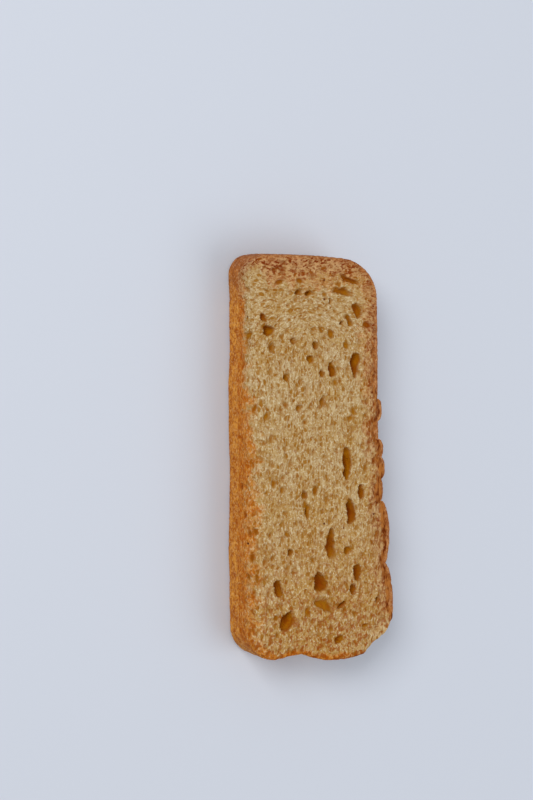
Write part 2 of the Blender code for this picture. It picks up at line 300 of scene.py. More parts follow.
def open_cells(place, box, share, radii, seed):
    """Depth in metres of oval cells opened by the knife, over an array of flat places.

    The plane is divided into square boxes. A share of them hold a cell, at a random spot, with a
    random radius, stretched along the grain. With q the distance in radii, the depth is its
    radius, times a random part, times (1 - q^2)^bowl. The deepest cell counts.
    """
    table = np.random.default_rng(seed).uniform(0.0, 1.0, (TABLE, 7))
    home = np.floor(place / box).astype(np.int64)
    deepest = np.zeros(len(place))
    for step in np.ndindex(3, 3):
        number = home + np.array(step) - 1
        draw = table[table_key(number)]
        spot = (number + between((CELL_INSET, 1 - CELL_INSET), draw[:, 1:3])) * box
        radius = between(radii, draw[:, 3] ** 2)
        lean = grain_lean(spot) + CELL_SWING * (draw[:, 4] - 0.5)
        c, s = np.cos(lean), np.sin(lean)
        dx, dy = (place - spot).T
        across = (c * dx + s * dy) / radius
        along = (c * dy - s * dx) / (radius * between(CELL_STRETCH, draw[:, 5]))
        cup = np.clip(1 - across ** 2 - along ** 2, 0.0, 1.0) ** CELL_BOWL
        depth = np.where(draw[:, 0] < share, radius * between(CELL_DEPTH, draw[:, 6]), 0.0)
        deepest = np.maximum(deepest, depth * cup)
    return deepest


def corner_points():
    """The slice's four corners before rounding, from the upper left to the right."""
    left = -WIDTH / 2
    top = LENGTH / 2
    bottom = -LENGTH / 2 + BLISTER_ROOM_BELOW
    return np.array([
        (left, top - TOP_LEFT_DROP),
        (left + NARROW_END, top - TOP_DROP),
        (left + WIDE_END, bottom),
        (left, bottom),
    ])


def outline_sides(counts):
    """The rounded outline as four runs of points with their outward normals.

    A side starts half way round one corner's arc, follows the straight line and ends half way
    round the next arc. An arc's point is its centre plus radius times a normal that turns
    clockwise from the normal of one line to that of the next. The points are spaced so that
    they lie evenly where the rounded edge meets the upper face.
    """
    corners = corner_points()
    ahead = np.roll(corners, -1, axis=0) - corners
    ahead /= np.linalg.norm(ahead, axis=1)[:, None]
    behind = np.roll(ahead, 1, axis=0)
    turn = np.arccos(np.sum(ahead * behind, axis=1))
    radii = np.array(CORNER_RADII)
    start = corners - behind * (radii * np.tan(turn / 2))[:, None]
    first_normal = np.stack([-behind[:, 1], behind[:, 0]], axis=1)
    centre = start - first_normal * radii[:, None]
    base = np.arctan2(first_normal[:, 1], first_normal[:, 0])
    sides = []
    for i, count in enumerate(counts):
        j = (i + 1) % 4
        out = turn[i] * np.linspace(0.5, 1.0, ARC_POINTS)
        into = turn[j] * np.linspace(0.0, 0.5, ARC_POINTS)
        angles = np.concatenate([base[i] - out, base[j] - into])
        middles = np.repeat(centre[[i, j]], ARC_POINTS, axis=0)
        spokes = np.stack([np.cos(angles), np.sin(angles)], axis=1)
        points = middles + spokes * np.repeat(radii[[i, j]], ARC_POINTS)[:, None]
        inset = points - spokes * edge_radius(spokes, ROUND_LEFT)[:, None]
        steps = np.linalg.norm(np.diff(inset, axis=0), axis=1)
        run = np.concatenate([[0.0], np.cumsum(steps)])
        wanted = np.linspace(0.0, run[-1], count + 1)
        columns = [np.interp(wanted, run, column) for column in (*points.T, *spokes.T)]
        side = np.stack(columns, axis=1)
        side[:, 2:] /= np.linalg.norm(side[:, 2:], axis=1)[:, None]
        sides.append(side)
    return sides


def swelling(blisters, place, level, power):
    """Height of the tallest blister at each place along a side, at each level.

    With t the distance from a blister's middle in half lengths, its height is
    (1 - t^flatness)^power, less a part that grows with the square of the way from its level.
    """
    tallest = np.zeros(np.broadcast(place, level).shape)
    for middle, half, height, fullest in blisters:
        t = np.clip(np.abs(place - middle) / half, 0.0, 1.0)
        fade = 1 - BLISTER_FADE * (level - fullest) ** 2
        tallest = np.maximum(tallest, height * fade * (1 - t ** BLISTER_FLATNESS) ** power)
    return tallest


def crust_offset(point, normal, level):
    """How far the crust stands out from the plain outline, side by side, as in the solid.

    The places are first shifted by noise that grows from nought at the upper face.
    """
    solid = np.column_stack([point, np.broadcast_to(level * THICKNESS, len(point))])
    shift = (1 - level) * SEAM_BEND * layered_noise(solid, SEAM_SIZE, SEAM_SEED, 2)
    x, y = point.T + shift
    waves = sum(high * np.sin(math.tau * (y - start) / long) for high, long, start in LEFT_WAVES)
    t = np.clip(np.abs(y - WAIST_PLACE) / WAIST_HALF, 0.0, 1.0)
    waist = WAIST_DEPTH * (1 - t * t) ** 2
    left = np.maximum(0.0, -normal[:, 0]) * waves
    blistered = swelling(RIGHT_BLISTERS, y, level, NOTCHED)
    right = np.maximum(0.0, normal[:, 0]) * (blistered - waist)
    lower = np.maximum(0.0, -normal[:, 1]) * swelling(LOWER_BLISTERS, x, level, MERGED)
    upper = np.maximum(0.0, normal[:, 1]) * swelling(UPPER_BLISTERS, x, level, MERGED)
    return left + right + lower + upper


def edge_radius(normal, left):
    """Rounding of a cut edge: this radius left, one right, one at the ends, blended."""
    sideways = np.where(normal[:, 0] < 0, left, ROUND_RIGHT)
    return sideways * normal[:, 0] ** 2 + ROUND_ENDS * normal[:, 1] ** 2


def wall_rings(loop):
    """Rings from the upper face's edge down the wall to the lower face's edge.

    Round a cut edge, with a the angle down from the vertical, the height falls by
    radius (1 - cos a) and the inset shrinks as radius (1 - sin a). Returns, ring by ring, the
    places, their outward directions, how far each is along the surface from the nearer face's
    edge, and how far it still is from there to where the browning starts.
    """
    point, normal = loop[:, :2], loop[:, 2:]
    above, below = edge_radius(normal, ROUND_LEFT), edge_radius(normal, ROUND_LEFT_BELOW)
    opened = LEFT_OPEN * (1 + left_narrowing(point)) / 2 * np.clip(-normal[:, 0], 0.0, 1.0) ** 2
    pale = above * math.pi / 2 + opened
    brown = below * math.pi / 2
    wall = THICKNESS - above - below
    places = []
    for a in np.linspace(0.0, math.pi / 2, UPPER_STEPS + 1):
        height = THICKNESS - above * (1 - math.cos(a))
        places.append((height, above * (1 - math.sin(a)), a, above * a, pale))
    upright = np.zeros(len(loop))
    for level in np.linspace(1.0, 0.0, WALL_STEPS + 2)[1:-1]:
        if level > 0.5:
            run, start = wall * (1 - level) + above * math.pi / 2, pale
        else:
            run, start = wall * level + brown, brown
        places.append((below + wall * level, upright, math.pi / 2, run, start))
    for a in np.linspace(math.pi / 2, 0.0, LOWER_STEPS + 1):
        places.append((below * (1 - math.cos(a)), below * (1 - math.sin(a)), math.pi - a,
                       below * a, brown))
    rings, directions, runs, inward = [], [], [], []
    for height, inset, angle, run, start in places:
        level = height / THICKNESS
        out = crust_offset(point, normal, level) - inset
        rings.append(np.column_stack([point + normal * out[:, None], height]))
        flat = normal * math.sin(angle)
        directions.append(np.column_stack([flat, np.full(len(flat), math.cos(angle))]))
        runs.append(run)
        inward.append(np.maximum(start - run, 0.0))
    return np.array(rings), np.array(directions), np.array(runs), np.array(inward)


def four_borders(loop, across, along):
    """The upper, right, lower and left borders of a grid, out of the loop that runs round it
    clockwise from the upper left. They run from the left to the right or from below up."""
    closed = np.concatenate([loop, loop[:1]])
    upper = closed[:across + 1]
    right = closed[across:across + along + 1][::-1]
    lower = closed[across + along:2 * across + along + 1][::-1]
    left = closed[2 * across + along:]
    return upper, right, lower, left


def stretched_grid(edge, across, along):
    """A grid whose border is the given loop of points, clockwise from the upper left.

    It is a Coons patch: with u across and v along, a point is the blend of the left and right
    sides at v, plus the blend of the lower and upper sides at u, less the blend of the corners.
    """
    upper, right, lower, left = four_borders(edge, across, along)
    u = np.linspace(0.0, 1.0, across + 1)[:, None, None]
    v = np.linspace(0.0, 1.0, along + 1)[None, :, None]
    ruled = (1 - u) * left[None] + u * right[None]
    ruled = ruled + (1 - v) * lower[:, None] + v * upper[:, None]
    low = (1 - u) * lower[0] + u * lower[-1]
    high = (1 - u) * upper[0] + u * upper[-1]
    return ruled - (1 - v) * low - v * high


def grid_numbers(across, along):
    """The numbers of a grid's points, with a row of them for each step across."""
    return np.arange((across + 1) * (along + 1)).reshape(across + 1, along + 1)


def border_numbers(across, along):
    """Grid numbers of the border, clockwise from the upper left, as the loop of points runs."""
    number = grid_numbers(across, along)
    return np.concatenate([
        number[:-1, along],
        number[across, :0:-1],
        number[:0:-1, 0],
        number[0, :-1],
    ])


def left_narrowing(point):
    """The part of its full reach that the left browning has at this height of the side."""
    return 1 - (1 - LEFT_NARROWED) * smooth(*LEFT_NARROWS, point[:, 1])


def toast_width(point, normal):
    """How far the browning reaches in from the wall, side by side, and hardly at the corner
    where the crust is gone."""
    sideways = np.where(normal[:, 0] < 0, TOASTED[0] * left_narrowing(point), TOASTED[1])
    endways = np.where(normal[:, 1] > 0, TOASTED[2], TOASTED[3])
    width = sideways * normal[:, 0] ** 2 + endways * normal[:, 1] ** 2
    return width * (1 - BROKEN_PALE * brokenness(point))


def brokenness(flat):
    """1 round the broken corner, falling to 0 at the end of its reach."""
    return 1 - smooth(*BROKEN_REACH, np.linalg.norm(flat - np.array(BROKEN_CORNER), axis=-1))


def from_wall(grid, reach, width, across, along):
    """How far each grid point is from the wall along the surface, and how toasted it is.

    For each of the four ends of the point's two grid lines, the distance is the straight way to
    that end plus the end's own distance from the wall, and the toasting is 1 less the
    distance in that end's browning widths. The least distance and the most toasting count.
    """
    def ends(values):
        upper, right, lower, left = four_borders(values, across, along)
        return left[None], right[None], lower[:, None], upper[:, None]

    stops = (grid[:1], grid[-1:], grid[:, :1], grid[:, -1:])
    gaps = [np.linalg.norm(grid - stop, axis=2) + start for stop, start in zip(stops, ends(reach))]
    toast = [1 - gap / wide for gap, wide in zip(gaps, ends(width))]
    return np.minimum.reduce(gaps), np.maximum.reduce(toast)


def lower_pores():
    """The lower face's holes, by the same seeded rule as in the solid."""
    rng = random.Random(LOWER_PORE_SEED)
    half_x = WIDTH / 2 - LOWER_PORE_EDGE
    half_y = LENGTH / 2 - LOWER_PORE_EDGE
    pores = []
    while len(pores) < LOWER_PORE_COUNT:
        x, y = rng.uniform(-half_x, half_x), rng.uniform(-half_y, half_y)
        across = rng.uniform(*LOWER_PORE_ACROSS)
        along = across * rng.uniform(*LOWER_PORE_STRETCH)
        lean = rng.uniform(-LOWER_PORE_LEAN, LOWER_PORE_LEAN)
        clear = all(math.hypot(x - p[0], y - p[1]) > LOWER_PORE_SPACING for p in pores)
        if clear and math.hypot(x, y) > LOWER_PORE_MIDDLE:
            pores.append((x, y, across, along, LOWER_PORE_DEPTH * across, lean, 0.0, 0.0))
    return pores


def pore_depth(flat, pores):
    """Depth of the large holes below the face.

    In a hole's own turned axes a and b are the distances from its middle in half sizes, after
    the rim has been made to wander by noise and a divided by 1 + taper b. With n the
    squareness, q^n = |a|^n + |b|^n, and the depth is (depth + lift) (1 - q^2)^p times
    1 - steepness a - slope b, less the lift. The power p grows to the right, so that this side
    is soft, and varies from place to place.
    """
    solid = np.column_stack([flat, np.zeros(len(flat))])
    wander = [layered_noise(solid, PORE_WARP_SIZE, seed) for seed in PORE_WARP_SEEDS]
    moved = flat + PORE_WARP * np.stack(wander, axis=1)
    power = PORE_POWER + PORE_VARIES * layered_noise(solid, *PORE_VARYING)
    deepest = np.zeros(len(flat))
    for x, y, across, along, depth, lean, taper, slope in pores:
        c, s = math.cos(math.radians(lean)), math.sin(math.radians(lean))
        dx, dy = (moved - np.array([x, y])).T
        b = (c * dy - s * dx) / (along / 2)
        a = (c * dx + s * dy) / (across / 2) / (1 + taper * np.clip(b, -1.0, 1.0))
        q = (np.abs(a) ** SQUARENESS + np.abs(b) ** SQUARENESS) ** (1 / SQUARENESS)
        cup = np.clip(1 - q * q, 0.0, 1.0) ** (power + PORE_SOFTENS * np.clip(a, -1.0, 1.0))
        lift = PORE_LIFT * depth
        sloped = 1 - STEEPNESS * a - slope * b
        deepest = np.maximum(deepest, (depth + lift) * cup * sloped - lift)
    return deepest


def crumb_depth(flat, large, seed):
    """Depth of the crumb's middling and small cells, shallower inside the large holes.

    Two fields of oval cells are bent by slow noise, and the whole face rolls a little.
    """
    solid = np.column_stack([flat, np.zeros(len(flat))])
    bend = [layered_noise(solid, CELL_BEND_SIZE, seed + k) for k in (1, 2)]
    bent = flat + CELL_BEND * np.stack(bend, axis=1)
    middling = open_cells(bent, *MIDDLING_CELLS, seed + 3)
    small = open_cells(bent, *SMALL_CELLS, seed + 4)
    rolling = ROLLING * (1 + layered_noise(solid, ROLLING_SIZE, seed + 5))
    cells = np.maximum(middling, small)
    return cells * (1 - CLEARED_MOST * smooth(*CLEARED, large)) + rolling


def crust_grain(place):
    """How far the crust is sunk, from 0 to about 0.5 mm: slow rolls, fine wrinkles and pits.

    Rolls are noise from 0 to 1. A wrinkle stands where its noise n is near nought, and beside
    it the crust is sunk by 1 - (1 - |n|)^power. Pits are the peaks of the third noise.
    """
    rolls_seed, wrinkles_seed, pits_seed = CRUST_SEEDS
    rolls = 0.5 + 0.5 * layered_noise(place, CRUST_ROLLS[1], rolls_seed, 2)
    ridges = 1 - np.abs(layered_noise(place, CRUST_WRINKLES[1], wrinkles_seed))
    wrinkles = 1 - ridges ** WRINKLE_POWER
    pits = smooth(*PIT_STARTS, lattice_noise(place, CRUST_PITS[1], pits_seed))
    return CRUST_ROLLS[0] * rolls + CRUST_WRINKLES[0] * wrinkles + CRUST_PITS[0] * pits


def quads(numbers):
    """Quads between neighbouring rows and columns of an array of vertex numbers."""
    a, b = numbers[:-1, :-1], numbers[1:, :-1]
    c, d = numbers[1:, 1:], numbers[:-1, 1:]
    return np.stack([a, b, c, d], axis=-1).reshape(-1, 4)


def slice_faces(ring_count, around):
    """The closed slice's quads, and the triangles that join its last ring to the lower grid.

    The vertices are numbered through the upper grid, then ring by ring down the wall, then
    through the lower grid, which has half as many cells each way. Each cell of its border
    meets two of the ring's, by a fan of three triangles.
    """
    upper = grid_numbers(ACROSS, ALONG)
    first_lower = upper.size + ring_count * around
    rings = np.arange(upper.size, first_lower).reshape(ring_count, around)
    rings = np.concatenate([border_numbers(ACROSS, ALONG)[None], rings])
    rings = np.concatenate([rings, rings[:, :1]], axis=1)

    fine = rings[-1]
    coarse = first_lower + border_numbers(*LOWER_GRID)
    coarse = np.append(coarse, coarse[0])
    fans = np.concatenate([
        np.stack([fine[0:-1:2], fine[1::2], coarse[:-1]], axis=1),
        np.stack([fine[1::2], coarse[1:], coarse[:-1]], axis=1),
        np.stack([fine[1::2], fine[2::2], coarse[1:]], axis=1),
    ])
    squares = np.concatenate([
        quads(upper),
        quads(rings.T),
        quads(first_lower + grid_numbers(*LOWER_GRID))[:, ::-1],
    ])
    return squares, fans


def slice_surface():
    """The closed slice: places, outward directions, the same places with the wall unrolled
    flat, distances from the crust, toasting, and faces."""
    sides = outline_sides((ACROSS, ALONG, ACROSS, ALONG))
    loop = np.concatenate([side[:-1] for side in sides])
    rings, directions, runs, reach = wall_rings(loop)
    rings[..., :2] = fitted(rings[..., :2])
    upper_half = rings[..., 2:] > THICKNESS / 2
    edges = np.where(upper_half, rings[:1, :, :2], rings[-1:, :, :2])
    unrolled = edges + loop[:, 2:] * runs[..., None]

    upper = stretched_grid(rings[0], ACROSS, ALONG)
    inner = rings[-1][::2].copy()
    inner[:, :2] -= loop[::2, 2:] * LOWER_STRIP
    lower = stretched_grid(inner, *LOWER_GRID)

    wall = rings[1:]
    parts = (upper.reshape(-1, 3), wall.reshape(-1, 3), lower.reshape(-1, 3))
    place = np.concatenate(parts)
    sheet = np.concatenate([parts[0][:, :2], unrolled[1:].reshape(-1, 2), parts[2][:, :2]])
    up = np.tile([0.0, 0.0, 1.0], (len(parts[0]), 1))
    down = np.tile([0.0, 0.0, -1.0], (len(parts[2]), 1))
    direction = np.concatenate([up, directions[1:].reshape(-1, 3), down])
    width = toast_width(loop[:, :2], loop[:, 2:])
    upper_inward, upper_toast = from_wall(upper, reach[0], width, ACROSS, ALONG)
    lower_reach = reach[-1][::2] + LOWER_STRIP
    lower_inward, lower_toast = from_wall(lower, lower_reach, width[::2], *LOWER_GRID)
    inward = np.concatenate([upper_inward.ravel(), reach[1:].ravel(), lower_inward.ravel()])
    wall_toast = 1 - reach[1:] / width
    toast = np.concatenate([upper_toast.ravel(), wall_toast.ravel(), lower_toast.ravel()])
    return place, direction, sheet, inward, toast, *slice_faces(len(wall), len(loop))


def fitted(flat):
    """Centres the rings and stretches them to the exact width and length."""
    low = flat.min(axis=(0, 1))
    high = flat.max(axis=(0, 1))
    return (flat - (low + high) / 2) * np.array([WIDTH, LENGTH]) / (high - low)


def closed_mesh(place, squares, fans):
    """A smooth-shaded mesh of these places, quads and triangles."""
    mesh = bpy.data.meshes.new(PIECE)
    faces = np.concatenate([squares.ravel(), fans.ravel()])
    sizes = np.concatenate([np.full(len(squares), 4), np.full(len(fans), 3)])
    starts = np.concatenate([[0], np.cumsum(sizes)[:-1]])
    mesh.vertices.add(len(place))
    mesh.vertices.foreach_set("co", place.astype(np.float32).ravel())
    mesh.loops.add(len(faces))
    mesh.loops.foreach_set("vertex_index", faces.astype(np.int32))
    mesh.polygons.add(len(sizes))
    mesh.polygons.foreach_set("loop_start", starts.astype(np.int32))
    mesh.polygons.foreach_set("loop_total", sizes.astype(np.int32))
    mesh.update(calc_edges=True)
    mesh.validate()
    mesh.shade_smooth()
    return mesh


def make_slice():
    """The slice, with the large holes, the open crumb and the crust's grain sunk into it.

    What its colour follows is kept as attributes: how far it is sunk by the holes, with and
    without the crumb's cells, in millimetres, which darken its colour partly as painted shade, how
    toasted, how far it faces up or down, and how crumbled.
    """
    place, direction, sheet, inward, toast, squares, fans = slice_surface()
    is_upper = place[:, 2] > THICKNESS / 2
    pores = [tuple(size * MM for size in pore[:5]) + pore[5:] for pore in UPPER_PORES]
    large = np.where(is_upper, pore_depth(sheet, pores), pore_depth(sheet, lower_pores()))
    small = np.where(is_upper, crumb_depth(sheet, large, UPPER_SEED),
                     crumb_depth(sheet, large, LOWER_SEED))

    facing = smooth(*FACE_STARTS, np.abs(direction[:, 2]))
    edge_noise = layered_noise(place, *EDGE_NOISE)
    ragged = place[:, :2] + BROKEN_RAGGED * layered_noise(place, *BROKEN_NOISE)[:, None]
    broken = brokenness(ragged) * smooth(*BROKEN_HEIGHTS, place[:, 2])
    crumbled = smooth(*BROKEN_STARTS, broken)
    open_crumb = smooth(0.0, CRUST_DEPTH, inward + CRUST_RAGGED * edge_noise)
    open_crumb = np.maximum(open_crumb, crumbled)
    sunk = facing * large + open_crumb * CELL_SINK * small
    sunk += (1 - open_crumb) * crust_grain(place) + BROKEN_SINK * crumbled
    place = np.clip(place - direction * sunk[:, None], *np.array(cad_box))

    mesh = closed_mesh(place, squares, fans)
    # Painted shade, partly the crumb's own colour: how far the holes and cells sink is kept to
    # darken the colour
    mottled = facing * large * (1 + HOLE_MOTTLES * edge_noise)
    fields = {
        "hollow_shade": (mottled + open_crumb * CELL_SHADE * small) / MM,
        "bored": facing * large / MM,
        "toast": toast + UNEVENLY * edge_noise - broken,
        "facing": facing,
        "crumbled": crumbled * facing,
    }
    for name, values in fields.items():
        attribute = mesh.attributes.new(name, "FLOAT", "POINT")
        attribute.data.foreach_set("value", values.astype(np.float32))
    piece = bpy.data.objects.new(PIECE, mesh)
    bpy.context.scene.collection.objects.link(piece)
    return piece


# ---------------------------------------------------------------- materials
def linear(code):
    """An sRGB hex colour as linear red, green, blue and alpha."""
    channels = [int(code[i:i + 2], 16) / 255 for i in (0, 2, 4)]
    turned = [c / 12.92 if c <= 0.04045 else ((c + 0.055) / 1.055) ** 2.4 for c in channels]
    return (*turned, 1.0)


def add(tree, kind, inputs=None, **settings):
    """Adds a node, sets its settings, and gives each input a value or another node's output."""
    made = tree.nodes.new(kind)
    for name, value in settings.items():
        setattr(made, name, value)
    for key, value in (inputs or {}).items():
        if isinstance(value, bpy.types.NodeSocket):
            tree.links.new(value, made.inputs[key])
        else:
            made.inputs[key].default_value = value
    return made


def crumb_and_crust():
    """Twice-baked bread: a dry, open, golden crumb that turns to orange-brown crust.

    Baked dough has no gloss, so the crumb is rough, and the crust only a little less so. Its
    finest cells are about half a millimetre. Their insides, and the holes the further they sink,
    are painted darker and browner than the walls: partly the crumb's toasted colour, partly
    painted shade standing in for the light that the walls catch and the cavities miss.
    """
    material = bpy.data.materials.new("twice_baked_bread")
    material.use_nodes = True
    tree = material.node_tree
    tree.nodes.clear()
    place = add(tree, "ShaderNodeTexCoord").outputs["Object"]
    hollow_shade, toast, facing, crumbled, bored = (
        add(tree, "ShaderNodeAttribute", attribute_name=name).outputs["Fac"]
        for name in ("hollow_shade", "toast", "facing", "crumbled", "bored"))

    # The grain: places bent a little, then turned as the crumb's cells lean, in steps of an eighth
    # of a right angle, so that whatever is stretched along their second axis follows the crumb
    wander = add(tree, "ShaderNodeTexNoise", {"Vector": place, "Scale": 1 / (1.6 * MM)})
    centred = add(tree, "ShaderNodeVectorMath", {0: wander.outputs["Color"], 1: (0.5, 0.5, 0.5)},
                  operation="SUBTRACT")
    bent = add(tree, "ShaderNodeVectorMath", {0: centred.outputs[0], 1: (0.8 * MM,) * 3, 2: place},
               operation="MULTIPLY_ADD")
    spot = add(tree, "ShaderNodeSeparateXYZ", {0: bent.outputs[0]})
    arch = add(tree, "ShaderNodeMapRange", {
        "Value": spot.outputs["Y"], "From Min": GRAIN_TURN[0], "From Max": GRAIN_TURN[1],
        "To Max": math.pi / 2}, interpolation_type="SMOOTHSTEP")
    half = add(tree, "ShaderNodeMapRange", {
        "Value": spot.outputs["X"], "From Min": ARCH_MIDDLE, "From Max": ARCH_MIDDLE + 0.01 * MM,
        "To Min": 1.0, "To Max": -1.0})
    steps = add(tree, "ShaderNodeMath", {0: arch.outputs[0], 1: math.pi / 16}, operation="SNAP")
    turn = add(tree, "ShaderNodeMath", {0: steps.outputs[0], 1: half.outputs[0]},
               operation="MULTIPLY")
    grain = add(tree, "ShaderNodeVectorRotate", {"Vector": bent.outputs[0],
                                                 "Angle": turn.outputs[0]},
                rotation_type="Z_AXIS").outputs[0]

    def patches(across, along, low, high, detail=1.0):
        """Uneven patches, 0 to 1, of these sizes in millimetres across and along the grain."""
        scale = tuple(1 / (size * MM) for size in (across, along, across))
        sized = add(tree, "ShaderNodeVectorMath", {0: grain, 1: scale}, operation="MULTIPLY")
        made = add(tree, "ShaderNodeTexNoise", {"Vector": sized.outputs[0], "Scale": 1.0,
                                                "Detail": detail, "Roughness": 0.6})
        return add(tree, "ShaderNodeMapRange", {"Value": made.outputs["Fac"], "From Min": low,
                                                "From Max": high}).outputs[0]

    def cell_net(across, along, least, most):
        """How open the crumb is, from 0 on a cell's wall to 1 inside the deepest cells."""
        scale = tuple(1 / (size * MM) for size in (across, along, across))
        sized = add(tree, "ShaderNodeVectorMath", {0: grain, 1: scale}, operation="MULTIPLY")
        vector = {"Vector": sized.outputs[0], "Scale": 1.0}
        wall = add(tree, "ShaderNodeTexVoronoi", vector, feature="DISTANCE_TO_EDGE")
        cell = add(tree, "ShaderNodeTexVoronoi", vector)
        draw = add(tree, "ShaderNodeSeparateColor", {0: cell.outputs["Color"]})
        opened = add(tree, "ShaderNodeMapRange", {"Value": draw.outputs[0], "From Min": least,
                                                  "From Max": most})
        return add(tree, "ShaderNodeMapRange", {
            "Value": wall.outputs["Distance"], "From Min": 0.02, "From Max": 0.22,
            "To Max": opened.outputs[0]}).outputs[0]

    def tint(under, over, value, low=0.0, high=1.0, most=1.0):
        """A colour laid over another, from none of it where the value is low to the most."""
        part = add(tree, "ShaderNodeMapRange", {"Value": value, "From Min": low, "From Max": high,
                                                "To Max": most})
        under, over = (linear(c) if isinstance(c, str) else c for c in (under, over))
        return add(tree, "ShaderNodeMix", {0: part.outputs[0], 6: under, 7: over},
                   data_type="RGBA").outputs[2]

    # Painted shade, partly the crumb's own colour: inside the finest cells the colour is darker
    # than on their walls; the same pattern also raises the walls by bump
    coarse = cell_net(0.8, 1.5, 0.45, 0.95)
    fine = cell_net(0.42, 0.8, 0.2, 0.9)
    pit_and_shade = add(tree, "ShaderNodeMath", {0: fine, 1: 0.4, 2: coarse}, operation="MULTIPLY_ADD",
              use_clamp=True).outputs[0]
    fibre = patches(0.45, 2.4, 0.32, 0.68)
    fleck = patches(0.45, 0.6, 0.52, 0.66)
    speck = patches(0.6, 1.1, 0.58, 0.66)

    # How brown it has baked: from the wall inwards, unevenly; redder at the right and the top
    split = add(tree, "ShaderNodeSeparateXYZ", {0: place})
    mottle = patches(3.0, 3.0, 0.0, 1.0, 5.0)
    mottled = [
        add(tree, "ShaderNodeMapRange", {"Value": mottle, "To Min": -swing, "To Max": swing})
        for swing in (0.7, 0.25)]
    reach, rim = (
        add(tree, "ShaderNodeMath", {0: toast, 1: moved.outputs[0]}, operation="ADD").outputs[0]
        for moved in mottled)
    # The third mask is how far the holes and cells sink, for the painted shade that darkens them
    toasted, crusty, deep_shade, to_right, to_top, to_bottom = (
        add(tree, "ShaderNodeMapRange", {"Value": value, "From Min": low,
                                         "From Max": high}).outputs[0]
        for value, low, high in (
            (reach, 0.05, 0.7),
            (rim, 0.82, 0.9),
            (hollow_shade, 0.12, 0.95),
            (split.outputs["X"], 4 * MM, 15 * MM),
            (split.outputs["Y"], 40 * MM, 50 * MM),
            (split.outputs["Y"], -15 * MM, -55 * MM)))
    side = add(tree, "ShaderNodeMath", {0: to_right, 1: to_top}, operation="MAXIMUM").outputs[0]

    # How sharply the surface falls, for the painted shade on the walls of the large holes
    normal = add(tree, "ShaderNodeSeparateXYZ",
                 {0: add(tree, "ShaderNodeNewGeometry").outputs["Normal"]})
    level = add(tree, "ShaderNodeMath", {0: normal.outputs["Z"]}, operation="ABSOLUTE")
    steep_shade = add(tree, "ShaderNodeMapRange", {"Value": level.outputs[0], "From Min": 0.85,
                                             "From Max": 0.4, "To Max": 0.6}).outputs[0]

    # Crumb: ivory fibres and tan walls in patches, ochre cells, brown down the holes; cells and
    # holes grow darker the further they sink, partly their toasted colour and partly painted shade
    walls = tint("C4A46E", "CEB88E", patches(6.0, 6.0, 0.38, 0.62, 4.0))
    walls = tint(walls, "A07430", fibre, 1.0, 0.0, 0.8)
    walls = tint(walls, "BC842A", split.outputs["Y"], 0.0, -45 * MM, 0.34)
    walls = tint(walls, tint("D08E3A", walls, side), toasted, most=0.75)
    walls = tint(walls, tint("D07E1C", walls, side), reach, 0.15, 0.45, 0.7)
    walls = tint(walls, tint(walls, "C49466", side), reach, 0.2, 0.8, 0.85)
    walls = tint(walls, "DCBE8C", crumbled, most=0.6)
    walls = tint(walls, tint("E0D0AC", "D4A468", toasted), fleck, most=0.7)
    # Painted shade, partly toasted colour: the insides of cells and holes turn darker and redder
    # the further they sink
    baked = tint(tint("B05A04", "8E4810", side), tint("8A3C00", "722C02", side), deep_shade)
    inside = tint(tint("A06C26", "96600E", deep_shade), baked, toasted)
    # Painted shade: the cells' insides are darker than their walls
    crumb = tint(walls, inside, pit_and_shade)
    crumb = tint(crumb, inside, deep_shade)
    deepest = tint("B06C04", "964A04", patches(7.0, 7.0, 0.42, 0.58))
    # Painted shade, partly the holes' own colour: the large holes turn brown and darker the
    # further they sink
    crumb = tint(crumb, deepest, hollow_shade, 0.5, 2.1, 0.9)
    # Painted shade: the sharply falling walls of the large holes are tinted dark brown
    crumb = tint(crumb, deepest, bored, 0.0, 0.15, steep_shade)
    # Painted shade, partly the holes' own colour: the bottoms of the largest holes are darkest of
    # all
    crumb = tint(crumb, "862E00", hollow_shade, 1.6, 3.0, 0.5)
    crumb = tint(crumb, "8E4E0A", speck, most=0.55)
    crumb = tint(crumb, "964A08", patches(1.1, 1.4, 0.51, 0.62, 2.0), most=to_bottom)
    crumb = tint(crumb, tint("B05600", "7E3204", side), patches(0.55, 1.2, 0.5, 0.58, 2.0),
                 most=toasted)

    # A few charred specks, about half a millimetre
    charred = add(tree, "ShaderNodeTexVoronoi", {"Vector": place, "Scale": 1 / (3.0 * MM)})
    chance = add(tree, "ShaderNodeSeparateColor", {0: charred.outputs["Color"]})
    burnt = add(tree, "ShaderNodeMapRange", {"Value": chance.outputs[0], "From Min": 0.9,
                                             "From Max": 0.92})
    crumb = tint(crumb, "5A2A14", charred.outputs["Distance"], 0.12, 0.08, burnt.outputs[0])

    # Crust: orange-brown on the smooth side, red-brown on the blistered side and the top
    tone = patches(2.2, 2.8, 0.34, 0.66, 3.0)
    blistered = tint(tint("8E4A18", "B46C30", tone), tint("9C5A2A", "BE8450", tone), facing)
    crust = tint(tint("B2620E", "DE963A", tone), blistered, side)
    crust = tint(crust, tint("903A00", "7E3A0C", side), patches(0.8, 1.2, 0.48, 0.6), most=0.55)
    crust = tint(crust, tint("EAB878", "D0A074", side), fleck, most=0.42)
    scorch = tint("6A2A04", "AE6C30", patches(0.8, 3.0, 0.4, 0.6, 2.0))
    lower_down = add(tree, "ShaderNodeMapRange", {
        "Value": split.outputs["Y"], "From Min": 36 * MM, "From Max": 6 * MM, "To Min": 0.35})
    scorched = add(tree, "ShaderNodeMath", {0: to_right, 1: lower_down.outputs[0]},
                   operation="MULTIPLY").outputs[0]
    colour = tint(crumb, scorch, rim, 0.52, 0.62, scorched)
    colour = tint(colour, crust, rim, 0.74, 0.8, to_right)
    colour = tint(colour, crust, crusty)

